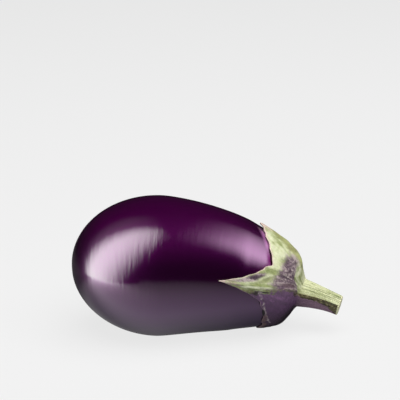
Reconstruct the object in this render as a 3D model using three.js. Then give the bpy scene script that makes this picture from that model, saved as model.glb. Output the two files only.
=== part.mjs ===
// An eggplant lying on its side: the glossy fruit, and the calyx and stalk that crown it.
// Millimetres. +X runs along the fruit from the blossom end to the stalk, +Y is the back and +Z is up.
// The fruit stands on z = 0 with a small flat spot under its weight.

import * as THREE from "three";
import { ParametricGeometry } from "three/addons/geometries/ParametricGeometry.js";

// ---- Driving dimensions of the fruit ----

// The middle line of the fruit, which bends down and a little forwards towards the stalk: a Bezier curve's
// start, two handles and end.
const SPINE = [
  [0, 0, 42.1],
  [88.3, -0.3, 46.7],
  [101.6, 1.5, 31.8],
  [145, -7.2, 27.2],
];

const FRUIT_LENGTH = 141.7; // along the spine, from the blossom end to the pole under the calyx
const BELLY_AT = 54; // distance from the blossom end to the fattest place
const BELLY_RADIUS = 43.8;
const BELLY_HANDLE = 10; // how far the outline keeps to its direction on leaving the belly
const SHOULDER_AT = 105.5; // where the taper turns into the shoulder under the calyx
const SHOULDER_RADIUS = 34.7;
const TAPER_SLOPE = -0.37; // millimetres of radius per millimetre of length at the shoulder
const TAPER_HANDLE = 7; // how far the outline keeps to that slope before the shoulder
const SHOULDER_HANDLE = 20.5; // and after it
const CROWN_HANDLE = 26; // how far it keeps square to the spine before the pole

const LOBING = 0.005; // share of the radius by which the fruit is out of round
const OVAL_TURN = 0.9; // radians by which its two-sided and three-sided parts are turned
const THREE_SIDED_TURN = -0.6;

const SCAR_DEPTH = 0.9; // dimple at the blossom end
const SCAR_RADIUS = 4;

// ---- Driving dimensions of the calyx and the stalk ----

const GAP = 0.4; // between the fruit's skin and the inside of the calyx
const CAP_REACH = 18; // over the skin, from the pole out to where the sepals' ribs begin
const CAP_THICKNESS = 1.9;
const RIM_THICKNESS = 0.9; // of a sepal at its edge
const KEEL = 1.2; // height of the rib along the middle of a sepal
const KEEL_SHARE = 0.45; // share of half a sepal's width over which the rib rises
const KEEL_AT_TIP = 0.3; // share of its height that the rib keeps at the tip
const KNUCKLE_REACH = 7; // length over which a rib bulges as it turns over the shoulder
const HOLLOW = 0.8; // how much thinner the cap is between its ribs
const SPREAD = 1.3; // how soon a sepal's sides lean out from its rib towards its edge

const STALK_FOOT = [144.9, -6.7, 24.1]; // where the stalk starts to flare into the cap
const STALK_BEND = [155.3, -10, 22.2]; // the point that its curved middle line heads for
const STALK_END = [165.8, -13.3, 17.8]; // centre of the cut
const STALK_FOOT_RADIUS = 8.8;
const STALK_END_RADIUS = 6;
const STALK_RIDGE = 0.09; // share of the stalk's radius by which its five ridges stand out
const FLARE_HOLDS_STALK = 3; // how far the flare keeps to the direction of the stalk's side
const FLARE_HOLDS_CAP = 6; // and to the direction of the cap
const CUT_BEVEL = 0.5;
const CUT_HOLLOW = 0.7; // the cut dries with its middle a little sunken

// The sepals, in order round the fruit. Angles are in degrees from the top towards the front; a reach is in
// millimetres over the skin from the pole. A sepal's outline rises to its tip and falls to the next notch,
// each side a Bezier curve with two handles. Rib and valley are the angles at which the sepal's middle and
// its notch leave the cap, knuckle is the height of the rib's bulge and lift how far the tip stands off.
const FIRST_NOTCH = [-50, 37];
const FIRST_VALLEY = -58;
const SEPALS = [
  {
    rise: [[-42, 41], [-28, 44]], tip: [-16, 50.5], rib: 18, knuckle: 2.3,
    fall: [[8, 50], [20, 40]], notch: [48, 37], valley: 52, lift: 0.6,
  },
  {
    rise: [[57, 42], [74, 53]], tip: [78, 72], rib: 73, knuckle: 0.4,
    fall: [[80, 62], [84, 38]], notch: [107, 36], valley: 108, lift: 0.8,
  },
  {
    rise: [[128, 35.5], [167, 33]], tip: [190, 46.5], rib: 150, knuckle: -1.5,
    fall: [[194, 42], [199, 38]], notch: [205, 37], valley: 196, lift: 0,
  },
  {
    rise: [[210, 43], [223, 48]], tip: [230, 62], rib: 223, knuckle: 0.6,
    fall: [[234, 50], [244, 43]], notch: [256, 36], valley: 252, lift: 1.2,
  },
  {
    rise: [[264, 42], [277, 46]], tip: [281, 57], rib: 278, knuckle: 0.8,
    fall: [[290, 46], [300, 42]], notch: [310, 37], valley: 302, lift: 1.6,
  },
];

// ---- Fineness of the faces ----

const FRUIT_SIDES = 60;
const FRUIT_RINGS = 40;
const STEPS_PER_SIDE = 10; // columns of faces on each side of a sepal

// ---- The fruit ----

const spine = new THREE.CubicBezierCurve3(...SPINE.map((point) => new THREE.Vector3(...point)));
const spineLength = spine.getLength();

// The fruit's outline from the blossom end (0, 0) to the pole: x along the spine, y the radius.
const outline = new THREE.Path();
outline.absellipse(BELLY_AT, 0, BELLY_AT, BELLY_RADIUS, Math.PI, Math.PI / 2, true);
outline.bezierCurveTo(
  BELLY_AT + BELLY_HANDLE, BELLY_RADIUS,
  SHOULDER_AT - TAPER_HANDLE, SHOULDER_RADIUS - TAPER_HANDLE * TAPER_SLOPE,
  SHOULDER_AT, SHOULDER_RADIUS,
);
outline.bezierCurveTo(
  SHOULDER_AT + SHOULDER_HANDLE, SHOULDER_RADIUS + SHOULDER_HANDLE * TAPER_SLOPE,
  FRUIT_LENGTH, CROWN_HANDLE,
  FRUIT_LENGTH, 0,
);
const outlineLength = outline.getLength();

// A point at this distance along the spine, this far out from it, at this angle from the top to the front.
function offSpine(along, radius, angle) {
  const place = THREE.MathUtils.clamp(along / spineLength, 0, 1);
  const tangent = spine.getTangentAt(place);
  const front = new THREE.Vector3().crossVectors(tangent, new THREE.Vector3(0, 0, 1)).normalize();
  const top = new THREE.Vector3().crossVectors(front, tangent);
  return spine
    .getPointAt(place)
    .addScaledVector(tangent, along - place * spineLength)
    .addScaledVector(top, radius * Math.cos(angle))
    .addScaledVector(front, radius * Math.sin(angle));
}

// A point this far over the skin from the pole, and this high above the skin.
function overSkin(reach, angle, height) {
  const place = 1 - reach / outlineLength;
  const at = outline.getPoint(place);
  const slope = outline.getTangent(place);
  const lobes = Math.cos(2 * angle - OVAL_TURN) + Math.cos(3 * angle - THREE_SIDED_TURN);
  const radius = at.y * (1 + LOBING * lobes);
  const scar = at.x < BELLY_AT ? SCAR_DEPTH * Math.exp(-((at.y / SCAR_RADIUS) ** 2)) : 0;
  return offSpine(at.x + scar - slope.y * height, radius + slope.x * height, angle);
}

function makeFruit() {
  return new ParametricGeometry(
    (turn, climb, target) => {
      target.copy(overSkin(climb * outlineLength, -turn * 2 * Math.PI, 0));
      target.z = Math.max(target.z, 0); // the flat spot it rests on
    },
    FRUIT_SIDES,
    FRUIT_RINGS,
  );
}

// ---- The calyx and the stalk ----

const { lerp, degToRad } = THREE.MathUtils;

const edge = new THREE.Path();
edge.moveTo(...FIRST_NOTCH);
for (const { rise, tip, fall, notch } of SEPALS) {
  edge.bezierCurveTo(...rise[0], ...rise[1], ...tip);
  edge.bezierCurveTo(...fall[0], ...fall[1], ...notch);
}
const COLUMNS = edge.curves.length * STEPS_PER_SIDE;

// What is needed to know about one column of faces, which runs from the stalk to the edge of a sepal:
// the angle at which it leaves the cap, where it meets the edge, and how near it is to the sepal's rib.
function columnAt(turn) {
  const index = Math.round(turn * COLUMNS) % COLUMNS;
  const side = Math.floor(index / STEPS_PER_SIDE);
  const step = (index % STEPS_PER_SIDE) / STEPS_PER_SIDE;
  const number = Math.floor(side / 2);
  const sepal = SEPALS[number];
  const rising = side % 2 === 0;
  const valleyBefore = number > 0 ? SEPALS[number - 1].valley : FIRST_VALLEY;
  const leaves = rising ? lerp(valleyBefore, sepal.rib, step) : lerp(sepal.rib, sepal.valley, step);
  const end = edge.curves[side].getPoint(step);
  return {
    leaves: degToRad(leaves),
    angle: degToRad(end.x),
    reach: end.y,
    nearRib: rising ? step : 1 - step,
    knuckle: sepal.knuckle,
    lift: sepal.lift,
  };
}

// The stalk bends so little that its rings all stand square to the line from its foot to its cut.
const foot = new THREE.Vector3(...STALK_FOOT);
const cut = new THREE.Vector3(...STALK_END);
const stalk = new THREE.QuadraticBezierCurve3(foot, new THREE.Vector3(...STALK_BEND), cut);
const stalkLength = foot.distanceTo(cut);
const stalkTangent = cut.clone().sub(foot).normalize();
const stalkFront = new THREE.Vector3().crossVectors(stalkTangent, new THREE.Vector3(0, 0, 1)).normalize();
const stalkTop = new THREE.Vector3().crossVectors(stalkFront, stalkTangent);

// A point of the stalk, at a share of its length from foot to cut and a share of its radius from the middle.
function onStalk(column, climb, share) {
  const taper = lerp(STALK_FOOT_RADIUS, STALK_END_RADIUS, Math.sin((climb * Math.PI) / 2));
  const radius = share * taper * (1 + STALK_RIDGE * (column.nearRib - 0.5));
  return stalk
    .getPoint(climb)
    .addScaledVector(stalkTop, radius * Math.cos(column.leaves))
    .addScaledVector(stalkFront, radius * Math.sin(column.leaves));
}

// The face of the cut, from its middle to its bevel.
function onCut(column, share) {
  const sunk = -CUT_HOLLOW * (1 - share ** 2);
  return onStalk(column, 1, share * (1 - CUT_BEVEL / STALK_END_RADIUS)).addScaledVector(stalkTangent, sunk);
}

function onBevel(column, share) {
  const climb = 1 - (share * CUT_BEVEL) / stalkLength;
  return onStalk(column, climb, 1 - ((1 - share) * CUT_BEVEL) / STALK_END_RADIUS);
}

function downStalk(column, share) {
  return onStalk(column, (1 - share) * (1 - CUT_BEVEL / stalkLength), 1);
}

// A point of a sepal, at a share of the way from the cap to its edge; thick is 1 on its outside, 0 inside.
function onSepal(column, share, thick) {
  const reach = lerp(CAP_REACH, column.reach, share);
  const angle = lerp(column.leaves, column.angle, 1 - (1 - share) ** SPREAD);
  const climb = Math.max(0, (column.nearRib - 1 + KEEL_SHARE) / KEEL_SHARE);
  const keel = KEEL * climb ** 1.5 * lerp(1, KEEL_AT_TIP, share);
  const shoulder = Math.exp(-(((reach - CAP_REACH) / KNUCKLE_REACH) ** 2));
  const bulge = shoulder * lerp(-HOLLOW, column.knuckle, column.nearRib);
  const thickness = lerp(CAP_THICKNESS, RIM_THICKNESS, share) + keel + bulge;
  const lift = column.lift * (column.nearRib * share) ** 3;
  return overSkin(reach, angle, GAP + lift + thickness * thick);
}

// The stalk flares into the cap, on a curve that starts down the stalk's side and ends out over the cap.
function onFlare(column, share) {
  const top = onStalk(column, 0, 1);
  const bottom = onSepal(column, 0, 1);
  const up = onStalk(column, 0.05, 1).sub(top).normalize();
  const outward = onSepal(column, 0.05, 1).sub(bottom).normalize();
  return new THREE.CubicBezierCurve3(
    top,
    top.clone().addScaledVector(up, -FLARE_HOLDS_STALK),
    bottom.clone().addScaledVector(outward, -FLARE_HOLDS_CAP),
    bottom,
  ).getPoint(share);
}

// The surface from the middle of the cut, down the stalk, out over the sepals, round their edge and back
// under them to the pole. Each stretch has its rings of faces and a rule for a point on a column.
const STRETCHES = [
  { rings: 2, point: onCut },
  { rings: 1, point: onBevel },
  { rings: 7, point: downStalk },
  { rings: 7, point: onFlare },
  { rings: 10, point: (column, share) => onSepal(column, share, 1) }, // outside
  { rings: 1, point: (column, share) => onSepal(column, 1, 1 - share) }, // edge
  { rings: 9, point: (column, share) => onSepal(column, 1 - share, 0) }, // inside
  { rings: 4, point: (column, share) => overSkin(CAP_REACH * (1 - share), column.leaves, GAP) },
];
const RINGS = STRETCHES.reduce((sum, stretch) => sum + stretch.rings, 0);

function makeCalyxAndStalk() {
  return new ParametricGeometry(
    (turn, down, target) => {
      let ring = Math.round(down * RINGS);
      let number = 0;
      while (ring > STRETCHES[number].rings) {
        ring -= STRETCHES[number].rings;
        number += 1;
      }
      const { rings, point } = STRETCHES[number];
      target.copy(point(columnAt(1 - turn), ring / rings));
    },
    COLUMNS,
    RINGS,
  );
}

// ---- The eggplant ----

const skin = new THREE.MeshStandardMaterial({ color: "#2f0a2e", roughness: 0.22, metalness: 0 });
const green = new THREE.MeshStandardMaterial({ color: "#a9b878", roughness: 0.7, metalness: 0 });

function named(name, geometry, material) {
  const mesh = new THREE.Mesh(geometry, material);
  mesh.name = name;
  return mesh;
}

const eggplant = new THREE.Group();
eggplant.add(named("fruit", makeFruit(), skin));
eggplant.add(named("calyx_and_stalk", makeCalyxAndStalk(), green));

// The origin is the middle of the bottom of its box.
const box = new THREE.Box3().setFromObject(eggplant);
eggplant.position.set(-(box.min.x + box.max.x) / 2, -(box.min.y + box.max.y) / 2, 0);

export default eggplant;
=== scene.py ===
# %% [markdown]
# # An eggplant lying on its side
#
# The model has two pieces: the glossy fruit, and the calyx and stalk that crown it. Their solids are in the
# CAD frame. Here each one is made again as a finer mesh, on the same curves and sizes, and gets the finish
# that the CAD model leaves out: waxy skin, ribs, veins, ragged sepal edges and a dried cut.
#
# Everything is in the frame of the CAD model: metres, +X from the blossom end to the stalk, +Y the back and
# +Z up. The frame is loaded first, and the fruit's box in it sets where the new pieces go.

from math import cos, pi, radians, sin

import bmesh
import bpy
import numpy as np
from mathutils import Matrix, Vector


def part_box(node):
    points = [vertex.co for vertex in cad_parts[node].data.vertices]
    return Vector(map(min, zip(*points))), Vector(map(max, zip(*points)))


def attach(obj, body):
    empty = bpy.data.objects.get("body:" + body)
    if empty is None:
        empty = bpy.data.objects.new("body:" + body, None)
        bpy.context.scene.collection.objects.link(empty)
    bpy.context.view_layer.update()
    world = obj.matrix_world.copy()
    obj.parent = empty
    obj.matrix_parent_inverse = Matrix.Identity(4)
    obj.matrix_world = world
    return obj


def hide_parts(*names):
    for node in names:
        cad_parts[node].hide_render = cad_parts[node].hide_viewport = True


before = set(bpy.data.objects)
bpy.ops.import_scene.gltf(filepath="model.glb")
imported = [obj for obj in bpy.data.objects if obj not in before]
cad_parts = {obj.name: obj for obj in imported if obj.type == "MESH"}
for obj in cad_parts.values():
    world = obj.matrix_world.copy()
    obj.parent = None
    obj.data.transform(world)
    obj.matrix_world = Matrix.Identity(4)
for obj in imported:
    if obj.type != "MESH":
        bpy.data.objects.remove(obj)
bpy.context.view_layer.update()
MM = 0.001

# %% [markdown]
# ## The camera
#
# The eggplant is seen a little from above, from the front. A long lens from 0.7 m keeps the perspective
# gentle, as in a product picture. The camera's matrix is built from its three axes: back points from the
# middle of the eggplant to the camera, and right and up span the picture. The eggplant isn't quite in the
# middle of the frame. A lens shift could do that, but turning the camera a little is simpler and keeps its
# settings plain.

# %% Set the camera
LOOKS_DOWN = radians(20)
ROLL = radians(-1.5)
DISTANCE = 0.695
LENS, SENSOR, IMAGE_WIDTH = 100, 36, 400  # mm, mm and pixels
LOOKED_AT = Vector((0, 0, 0.040))
MIDDLE_IN_PICTURE = Vector((7.06, -67.92))  # pixels right of and above the middle of the picture

back = Vector((0, -cos(LOOKS_DOWN), sin(LOOKS_DOWN)))
level_right = Vector((1, 0, 0))
level_up = back.cross(level_right)
right = cos(ROLL) * level_right + sin(ROLL) * level_up
up = back.cross(right)
axes = Matrix((right, up, back)).transposed()
focal_pixels = LENS / SENSOR * IMAGE_WIDTH
towards_middle = Vector((MIDDLE_IN_PICTURE.x, MIDDLE_IN_PICTURE.y, -focal_pixels))
turn_away = towards_middle.rotation_difference(Vector((0, 0, -1))).to_matrix()

camera_data = bpy.data.cameras.new("camera")
camera_data.lens = LENS
camera_data.sensor_width = SENSOR
camera = bpy.data.objects.new("camera", camera_data)
bpy.context.scene.collection.objects.link(camera)
camera.matrix_world = Matrix.Translation(LOOKED_AT + DISTANCE * back) @ (axes @ turn_away).to_4x4()
bpy.context.scene.camera = camera
print("camera at", [round(value, 3) for value in camera.matrix_world.translation])

# %% [markdown]
# ## Curves that give the form
#
# A fruit like this is a body of revolution that grew bent: an outline turned about a middle line that droops
# towards the stalk. Both are drawn with Bezier curves, because four points give a long smooth curve that is
# easy to change. A curve is walked by its length in millimetres, so that "54 mm from the end" means the same
# on the skin as on the real thing. Polylines with many short steps are exact enough for that.

# %% Bezier curves and walks along them
FINE_STEPS = 600
NUDGE = 0.05  # mm, the short step that a direction is measured over


def bezier(points, share):
    """Points at shares of a Bezier curve that is given by its start, two handles and end."""
    start, leave, arrive, end = (np.asarray(point, float) for point in points)
    share = np.asarray(share, float)[..., None]
    rest = 1 - share
    return start * rest**3 + 3 * leave * rest**2 * share + 3 * arrive * rest * share**2 + end * share**3


def unit(vectors):
    return vectors / np.linalg.norm(vectors, axis=-1, keepdims=True)


def walk_along(points):
    """The length of a polyline, and a function that gives the points at distances along it."""
    gone = np.concatenate([[0], np.cumsum(np.linalg.norm(np.diff(points, axis=0), axis=1))])

    def at(distance):
        return np.stack([np.interp(distance, gone, values) for values in points.T], axis=-1)

    return gone[-1], at


def direction_along(at, distance, length):
    """The direction of a walk at distances along it."""
    distance = np.clip(distance, NUDGE, length - NUDGE)
    return unit(at(distance + NUDGE) - at(distance - NUDGE))


# %% The fruit's middle line and outline, in millimetres
SPINE = [(0, 0, 42.1), (88.3, -0.3, 46.7), (101.6, 1.5, 31.8), (145, -7.2, 27.2)]

FRUIT_LENGTH = 141.7  # along the spine, from the blossom end to the pole under the calyx
BELLY_AT = 54  # from the blossom end to the fattest place
BELLY_RADIUS = 43.8
BELLY_HANDLE = 10
SHOULDER_AT = 105.5  # where the taper turns into the shoulder under the calyx
SHOULDER_RADIUS = 34.7
TAPER_SLOPE = -0.37
TAPER_HANDLE = 7
SHOULDER_HANDLE = 20.5
CROWN_HANDLE = 26

shares = np.linspace(0, 1, FINE_STEPS)
quarter = shares * pi / 2
blossom_end = np.stack([BELLY_AT * (1 - np.cos(quarter)), BELLY_RADIUS * np.sin(quarter)], axis=-1)
belly_to_shoulder = bezier(
    [
        (BELLY_AT, BELLY_RADIUS),
        (BELLY_AT + BELLY_HANDLE, BELLY_RADIUS),
        (SHOULDER_AT - TAPER_HANDLE, SHOULDER_RADIUS - TAPER_HANDLE * TAPER_SLOPE),
        (SHOULDER_AT, SHOULDER_RADIUS),
    ],
    shares,
)
shoulder_to_pole = bezier(
    [
        (SHOULDER_AT, SHOULDER_RADIUS),
        (SHOULDER_AT + SHOULDER_HANDLE, SHOULDER_RADIUS + SHOULDER_HANDLE * TAPER_SLOPE),
        (FRUIT_LENGTH, CROWN_HANDLE),
        (FRUIT_LENGTH, 0),
    ],
    shares,
)
spine_length, spine_at = walk_along(bezier(SPINE, shares))
outline_length, outline_at = walk_along(
    np.concatenate([blossom_end, belly_to_shoulder[1:], shoulder_to_pole[1:]])
)
print(f"middle line {spine_length:.1f} mm, outline {outline_length:.1f} mm")

# %% [markdown]
# ## Putting a point on the bent body
#
# Two functions carry both pieces. The first takes a distance along the middle line, a distance out from it
# and an angle round it. The second takes a distance over the skin from the pole, which is how a sepal lies:
# it reaches so many millimetres over the fruit. A fruit is never quite round, so two small waves round the
# body, one with two crests and one with three, leave it faintly lobed.

# %% From the straight body to the bent one
LOBING = 0.005  # of the radius, for each wave
OVAL_TURN = 0.9  # radians
THREE_SIDED_TURN = -0.6
SCAR_DEPTH = 0.9  # mm, the dimple where the flower dropped off
SCAR_RADIUS = 4
UPWARDS = np.array([0, 0, 1.0])


def off_spine(along, radius, angle):
    """Points off the middle line; the angle goes from the top towards the front."""
    place = np.clip(along, 0, spine_length)
    tangent = direction_along(spine_at, place, spine_length)
    front = unit(np.cross(tangent, UPWARDS))
    top = np.cross(front, tangent)
    out = top * np.cos(angle)[..., None] + front * np.sin(angle)[..., None]
    return spine_at(place) + tangent * (along - place)[..., None] + out * radius[..., None]


def out_of_round(angle):
    return 1 + LOBING * (np.cos(2 * angle - OVAL_TURN) + np.cos(3 * angle - THREE_SIDED_TURN))


def over_skin(reach, angle, height):
    """Points a reach over the skin from the pole, and a height above the skin."""
    place = outline_length - reach
    at = outline_at(place)
    slope = direction_along(outline_at, place, outline_length)
    radius = at[..., 1] * out_of_round(angle) + slope[..., 0] * height
    return off_spine(at[..., 0] - slope[..., 1] * height, radius, angle)


# %% [markdown]
# ## The sepals' edge
#
# The calyx is one leafy cap with five sepals. Seen from the stalk, its edge is a wavy line round the fruit:
# it runs out to a tip, back to a notch, and so on. Each side of a sepal is one Bezier curve in two numbers,
# the angle round the fruit and the reach over the skin, so a sepal's form can be read from a short list. The
# same list gives what each sepal does where it turns over the shoulder of the fruit.

# %% Driving values of the calyx and stalk, in millimetres and degrees
GAP = 0.4  # between the inside of the cap and the skin
RIM_GAP = 0.1  # the same at the sepals' edge
CAP_REACH = 18  # where the sepals leave the cap
CAP_THICKNESS = 1.9
RIM_THICKNESS = 0.9
KEEL = 1.2  # height of a sepal's rib at the cap
KEEL_SHARE = 0.45  # the part of each side of a sepal that is rib
KEEL_AT_TIP = 0.3  # the part of the rib's height that is left there
KNUCKLE_REACH = 7  # how far the knuckle, where a sepal bends over the shoulder, runs on
HOLLOW = 0.8  # depth between two knuckles
SPREAD = 1.3  # above 1, a column turns to its place on the edge early

STALK_FOOT = np.array([142.7, -6.0, 24.3])
STALK_BEND = np.array([155.3, -10, 22.2])
STALK_END = np.array([165.8, -13.3, 17.8])
STALK_FOOT_RADIUS = 8.8
STALK_END_RADIUS = 6
STALK_RIDGE = 0.09  # height of the ridges above the valleys, as a part of the radius
FLARE_HOLDS_STALK = 0.8  # how far the flare keeps to the stalk's direction
FLARE_HOLDS_CAP = 1.5  # and to the cap's
CUT_BEVEL = 0.5
CUT_HOLLOW = 0.7

# The edge rises from the last notch to the tip and falls to the next notch. Each point is an angle round the
# fruit and a reach over the skin. The rib and the valley are the angles where a column leaves the stalk.
FIRST_NOTCH = (-50, 37)
FIRST_VALLEY = -58
SEPALS = [
    {"rise": [(-42, 41), (-28, 44)], "tip": (-16, 50.5), "rib": 18, "knuckle": 2.6,
     "fall": [(8, 50), (20, 40)], "notch": (48, 37), "valley": 52, "lift": 0.6},
    {"rise": [(57, 42), (74, 53)], "tip": (78, 72), "rib": 73, "knuckle": 0.4,
     "fall": [(80, 62), (84, 38)], "notch": (107, 36), "valley": 108, "lift": 0.8},
    {"rise": [(128, 35.5), (167, 33)], "tip": (190, 46.5), "rib": 150, "knuckle": -1.5,
     "fall": [(194, 42), (199, 38)], "notch": (205, 37), "valley": 196, "lift": 0},
    {"rise": [(210, 43), (223, 48)], "tip": (230, 62), "rib": 223, "knuckle": 0.6,
     "fall": [(234, 50), (244, 43)], "notch": (256, 36), "valley": 252, "lift": 1.2},
    {"rise": [(264, 42), (277, 46)], "tip": (281, 57), "rib": 278, "knuckle": 0.8,
     "fall": [(290, 46), (300, 42)], "notch": (310, 37), "valley": 302, "lift": 1.6},
]
SIDES = 2 * len(SEPALS)

edge_sides = []
leaving_angles = []
last_notch, last_valley = FIRST_NOTCH, FIRST_VALLEY
for sepal in SEPALS:
    edge_sides.append([last_notch, *sepal["rise"], sepal["tip"]])
    edge_sides.append([sepal["tip"], *sepal["fall"], sepal["notch"]])
    leaving_angles.append((last_valley, sepal["rib"]))
    leaving_angles.append((sepal["rib"], sepal["valley"]))
    last_notch, last_valley = sepal["notch"], sepal["valley"]
edge_sides = np.array(edge_sides, float)
leaving_angles = np.array(leaving_angles, float)
knuckles = np.array([sepal["knuckle"] for sepal in SEPALS])
lifts = np.array([sepal["lift"] for sepal in SEPALS])
print(len(SEPALS), "sepals, longest reach", edge_sides[:, :, 1].max(), "mm")

# %% [markdown]
# ## Small waves
#
# Nothing on a plant is ruled with a straightedge. Sums of a few sine waves, with whole numbers of waves
# round the calyx so that they close on themselves, make edges ragged and surfaces uneven. Their phases come
# from a seeded random generator, so that every run gives the same eggplant.


# %% Waves round the calyx
def ripple(turn, wave_counts, seed):
    """A number from about -1 to 1 that wanders with the turn round the calyx, from 0 to 1, and closes."""
    phases = np.random.default_rng(seed).uniform(0, 2 * pi, len(wave_counts))
    waves = [np.sin(2 * pi * count * turn + phase) for count, phase in zip(wave_counts, phases)]
    return sum(waves) / len(waves) ** 0.5


def blend(start, end, share):
    return start + (end - start) * share


def ease(value, low, high):
    """Rises smoothly from 0 at low to 1 at high."""
    share = np.clip((value - low) / (high - low), 0, 1)
    return share**2 * (3 - 2 * share)


def between(value, starts, full, fades, ends):
    """Rises smoothly to 1 from starts to full, and falls to 0 again from fades to ends."""
    return ease(value, starts, full) * ease(value, ends, fades)


def near(value, middle, width):
    """Is 1 at the middle and falls smoothly to almost 0 at two widths from it."""
    return np.exp(-(((value - middle) / width) ** 2))


# %% [markdown]
# ## The fruit
#
# The fruit could be a sphere pulled into shape, but its outline would then depend on the pull. Spinning a
# profile is the lathe's way: the profile is drawn once as a few dozen joined points, and bmesh.ops.spin
# carries it all the way round. use_merge closes the seam, and merging the doubles closes both ends. Each
# point is then carried from the straight body to the bent one.
#
# What the finish needs is kept in layers: the place on the straight body, so that a pattern can run along
# the skin instead of cutting through the bend, and how far the skin lies past the edge of the calyx. For
# that, the spin copies each profile point's reach from the pole. Three more layers say where a sepal kept
# the sun off, where the crevice in a notch is painted dark as shade, and where the flower dropped off.

# %% Spin the outline and bend the body
PROFILE_POINTS = 84
SPIN_STEPS = 128
MERGE = 1e-6
SUBDIVISIONS = 1
EDGE_POINTS = 40  # on each side of a sepal
SHELTERED = (-5, 12, 24, 36)  # degrees round the fruit where the upper sepal shaded the skin
NOTCH_ANGLE, NOTCH_WIDTH = 43, 11  # degrees round the fruit where the crevice is painted dark as shade


def vertex_places(bm):
    return np.array([vertex.co for vertex in bm.verts])


def keep(bm, name, values):
    """Keeps a number or a vector for each vertex in a named layer, which becomes a mesh attribute."""
    layers = bm.verts.layers.float if values.ndim == 1 else bm.verts.layers.float_vector
    layer = layers.new(name)
    for vertex, value in zip(bm.verts, values):
        vertex[layer] = value


def finish_piece(name, bm, places):
    """Moves the vertices to their places in mm, closes the seam and makes a smooth subdivided object."""
    for vertex, place in zip(bm.verts, places * MM):
        vertex.co = place
    bmesh.ops.remove_doubles(bm, verts=bm.verts, dist=MERGE)
    bmesh.ops.recalc_face_normals(bm, faces=bm.faces)
    mesh = bpy.data.meshes.new(name)
    bm.to_mesh(mesh)
    bm.free()
    mesh.shade_smooth()
    piece = bpy.data.objects.new(name, mesh)
    bpy.context.scene.collection.objects.link(piece)
    subdivision = piece.modifiers.new("subdivision", "SUBSURF")
    subdivision.levels = SUBDIVISIONS
    subdivision.render_levels = SUBDIVISIONS
    print(name, "has", len(mesh.polygons), "faces before subdivision")
    return piece


bm = bmesh.new()
reach_layer = bm.verts.layers.float.new("reach")
profile = []
for distance in np.linspace(0, outline_length, PROFILE_POINTS):
    along, radius = outline_at(distance)
    vertex = bm.verts.new((along, 0, radius))
    vertex[reach_layer] = outline_length - distance
    profile.append(vertex)
profile_edges = [bm.edges.new(pair) for pair in zip(profile, profile[1:])]
bmesh.ops.spin(
    bm,
    geom=profile + profile_edges,
    cent=(0, 0, 0),
    axis=(1, 0, 0),
    angle=2 * pi,
    steps=SPIN_STEPS,
    use_merge=True,
)
straight = vertex_places(bm)
along, radius = straight[:, 0], np.hypot(straight[:, 1], straight[:, 2])
angle = np.arctan2(-straight[:, 1], straight[:, 2])
at_scar = np.where(along < BELLY_AT, near(radius, 0, SCAR_RADIUS), 0)
bent = off_spine(along + SCAR_DEPTH * at_scar, radius * out_of_round(angle), angle)
bent[:, 2] = np.maximum(bent[:, 2], 0)  # the flat spot that it rests on

cad_middle = sum(np.array(corner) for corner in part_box("fruit")) / 2 / MM
bent_middle = (bent.min(axis=0) + bent.max(axis=0)) / 2
TO_CAD = (cad_middle - bent_middle) * (1, 1, 0)

degrees_round = np.degrees(angle)
edge_line = np.concatenate([bezier(side, np.linspace(0, 1, EDGE_POINTS)) for side in edge_sides])
edge_reach = np.interp(degrees_round, edge_line[:, 0], edge_line[:, 1], period=360)
reach = np.array([vertex[reach_layer] for vertex in bm.verts])
keep(bm, "straight", straight * MM)
keep(bm, "past_calyx", (reach - edge_reach) * MM)
keep(bm, "sheltered", between(degrees_round, *SHELTERED))
keep(bm, "at_scar", at_scar)
keep(bm, "notch_shade_place", near(degrees_round, NOTCH_ANGLE, NOTCH_WIDTH))
fruit = finish_piece("fruit_skin", bm, bent + TO_CAD)
print("moved to the CAD place by", TO_CAD.round(2), "mm")

# %% [markdown]
# ## The calyx and stalk
#
# Stalk, cap and sepals grew as one, so they are one closed surface. It is a grid that is wrapped into place:
# its columns run from the middle of the stalk's cut, down the stalk, out over a sepal to its edge, and back
# under it to the pole of the fruit. bmesh.ops.create_grid makes the grid, and a rule for each stretch of a
# column says where its points go. Merging doubles then closes the seam and both ends. Modelling each sepal
# by extrusion would give the same look, but not a cap that follows the fruit so closely.

# %% One column of the grid
EDGE_RAGGED = 0.8  # mm by which the edge wanders in and out
EDGE_WAVES = (17, 29, 47)
NICK = (0.083, 0.0035, 1.9)  # turn, width in turns and depth in mm of the nick that splits the upper tip


def column_at(turn):
    """What is needed to know about the columns at these turns round the calyx, from 0 to 1."""
    side = np.floor(turn * SIDES).astype(int) % SIDES
    step = turn * SIDES % 1
    sepal = side // 2
    near_rib = np.where(side % 2 == 0, step, 1 - step)
    end = bezier(np.moveaxis(edge_sides[side], 1, 0), step)
    leaves = blend(leaving_angles[side, 0], leaving_angles[side, 1], step)
    ragged = EDGE_RAGGED * ripple(turn, EDGE_WAVES, 1)
    nick_at, nick_width, nick_depth = NICK
    nick = nick_depth * near(turn, nick_at, nick_width)
    return {
        "turn": turn,
        "leaves": np.radians(leaves),
        "angle": np.radians(end[..., 0]),
        "reach": end[..., 1] + ragged - nick,
        "near_rib": near_rib,
        "knuckle": knuckles[sepal],
        "lift": lifts[sepal],
    }


# %% [markdown]
# The stalk is nearly straight, so all its rings stand square to the line from its foot to its cut. Five soft
# ridges run down from it into the sepals' ribs. Between them lie fine lengthwise ribs, 1 to 2 mm apart, as
# in celery: they are real relief here, because they catch the light along the whole stalk.

# %% Rules for the stalk
FINE_RIBS = (27, 33, 44)  # waves round the stalk
FINE_RIB_HEIGHT = 0.16  # mm
RIBS_WANDER = 0.02  # turns that a fine rib drifts from the foot to the cut
CUT_ROUGHNESS = 0.12
CUT_WAVES = (7, 13, 19)
WOODY_RING = (0.66, 0.1, 0.35)  # place and width as shares of the cut's radius, and height in mm

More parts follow.
